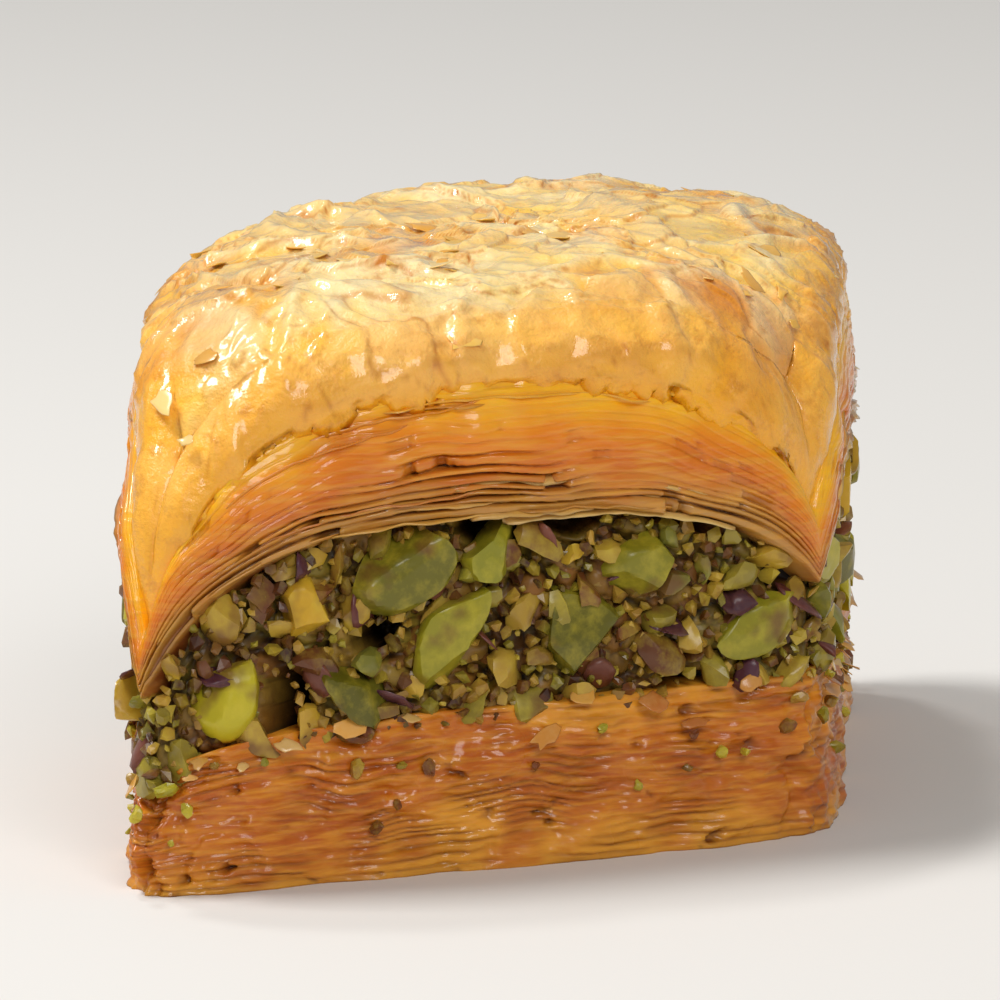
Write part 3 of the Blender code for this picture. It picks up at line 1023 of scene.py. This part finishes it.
def peeled_leaves():
    """Strips along the cut: a lens 8 points round, carried along the leaf's own arch, that
    narrows to nothing at both ends; its outer rim stands out, droops and wavers."""
    draw = np.random.default_rng(211)
    count, steps = 58, 44
    side = draw.integers(0, 4, count)
    length = draw.uniform(0.1, 0.42, count)
    start = side + draw.uniform(0.05, 0.93 - length)
    step = np.linspace(0, 1, steps)
    way = (start[:, None] + length[:, None] * step)[..., None]
    rise = (draw.uniform(0.02, 1.0, count) ** 1.5)[:, None, None] * 0.9
    rise = rise + 0.03 * draw.normal(size=(count, 1, 1)) * (step[:, None] - 0.5)
    taper = np.sqrt(1 - (2 * step[:, None] - 1) ** 6)
    lane = np.stack([way[..., 0] * SIDE, np.broadcast_to(draw.uniform(0, 1, (count, 1)),
                                                         way.shape[:2]), way[..., 0] * 0], -1)
    waver = layered(lane, 2.4 * MM, 213, 3)[..., None]
    round_turn = np.linspace(0, 2 * np.pi, 8, endpoint=False)
    across, thick = np.cos(round_turn), np.sin(round_turn)
    reach = (draw.uniform(0.1, 0.5, (count, 1, 1)) + 0.3 * waver) * MM
    out = (-0.5 * MM + (reach + 0.5 * MM) * (across + 1) / 2) * taper - 0.35 * MM * (1 - taper)
    points = cut_point(np.broadcast_to(way, out.shape), np.broadcast_to(rise, out.shape), out)
    droop = draw.uniform(-0.25, 0.4, (count, 1, 1)) * MM + 0.2 * MM * waver
    points[..., 2] += 0.07 * MM * thick * taper - droop * ((across + 1) / 2) ** 2
    dry = picked(draw, ["#D9A04A", "#C98634", "#E2B05C", "#C0702A", "#E6BA6C"], count)
    soaked = picked(draw, ["#E8951C", "#DE8418", "#F0A828", "#D87A1C"], count)
    colour = np.where(rise[:, :1, 0] > 0.4, soaked, dry)
    return joined_shells("peeled_leaves", points, colour)


def flakes(draw, name, sizes, spots, normal, level_way, palette):
    """Shards: jagged lenses bent like a roof tile, each at its spot, facing its normal."""
    count, columns = len(spots), 11
    turn = np.linspace(0, 2 * np.pi, columns, endpoint=False)
    jag = draw.uniform(0.5, 1.0, (count, 1, columns))
    share = np.array([0.5, 0.92, 1.0, 0.92, 0.5])[:, None]
    face = np.array([1.0, 0.8, 0.0, -0.8, -1.0])[:, None]
    size = draw.uniform(*sizes, (count, 1, 1)) / 2
    x = size * jag * share * np.cos(turn)
    y = size * jag * share * np.sin(turn) * draw.uniform(0.4, 0.8, (count, 1, 1))
    bend = draw.uniform(-0.35, 0.35, (count, 1, 1)) / size
    z = 0.025 * MM * face + bend * x ** 2 + draw.uniform(-0.2, 0.2, (count, 1, 1)) * x
    local = np.stack([x, y, z], -1)
    spin = draw.uniform(-0.6, 0.6, (count, 1))
    first = level_way * np.cos(spin) + np.cross(normal, level_way) * np.sin(spin)
    second = np.cross(normal, first)
    points = (local[..., :1] * first[:, None, None] + local[..., 1:2] * second[:, None, None]
              + local[..., 2:] * normal[:, None, None])
    return joined_shells(name, points + spots[:, None, None], picked(draw, palette, count))


def unit(rows):
    """Each row divided by its length."""
    return rows / np.linalg.norm(rows, axis=-1, keepdims=True)


def ledge_flakes():
    """Shards on the top edge of the base, tilted between facing out and facing up."""
    draw = np.random.default_rng(221)
    count = 52
    way, rise = draw.uniform(0, 4, count), draw.uniform(0.84, 1.1, count)
    spots, uv, side = on_side(way, rise * 0, 0.0)
    spots[:, 2] = np.maximum(level("base", uv) * rise, 0.5 * MM)
    facing = SIDE_FACING[side]
    tilt = draw.uniform(0.2, 1.2, (count, 1))
    normal = facing * np.cos(tilt) + np.array([0, 0, 1.0]) * np.sin(tilt)
    spots = spots + facing * draw.uniform(-0.1, 0.12, (count, 1)) * MM
    return flakes(draw, "filo_flakes", (0.8 * MM, 2.2 * MM), spots, normal,
                  np.cross([0, 0, 1.0], facing), ["#D99A42", "#CC8634", "#E2B263", "#B8692A"])


def dome_flakes():
    """Shards that lift off the skin; the way up from it is the cross product of the ways
    along u and along v."""
    draw = np.random.default_rng(231)
    count = 90
    uv = draw.uniform(-0.96, 0.96, (count, 2))
    near = [place("skin", uv + step, 0.0, level("skin", uv + step))
            for step in np.array([[0, 0], [0.01, 0], [0, 0.01]])]
    along, normal = unit(near[1] - near[0]), unit(np.cross(near[1] - near[0], near[2] - near[0]))
    normal = unit(normal + draw.normal(size=normal.shape) * 0.12)
    along = unit(np.cross(np.cross(normal, along), normal))
    turn = draw.uniform(0, 2 * np.pi, (count, 1))
    along = along * np.cos(turn) + np.cross(normal, along) * np.sin(turn)
    return flakes(draw, "skin_flakes", (0.8 * MM, 2.6 * MM), near[0] + 0.26 * MM * normal, normal,
                  along, ["#EDBA55", "#E2A03A", "#E8AE48", "#F1CB7C"])


peeled = peeled_leaves()
finish(peeled, FLAKE, "baked_pastry")
finish(ledge_flakes(), FLAKE, "soaked_pastry")
finish(dome_flakes(), FLAKE, "baked_pastry")
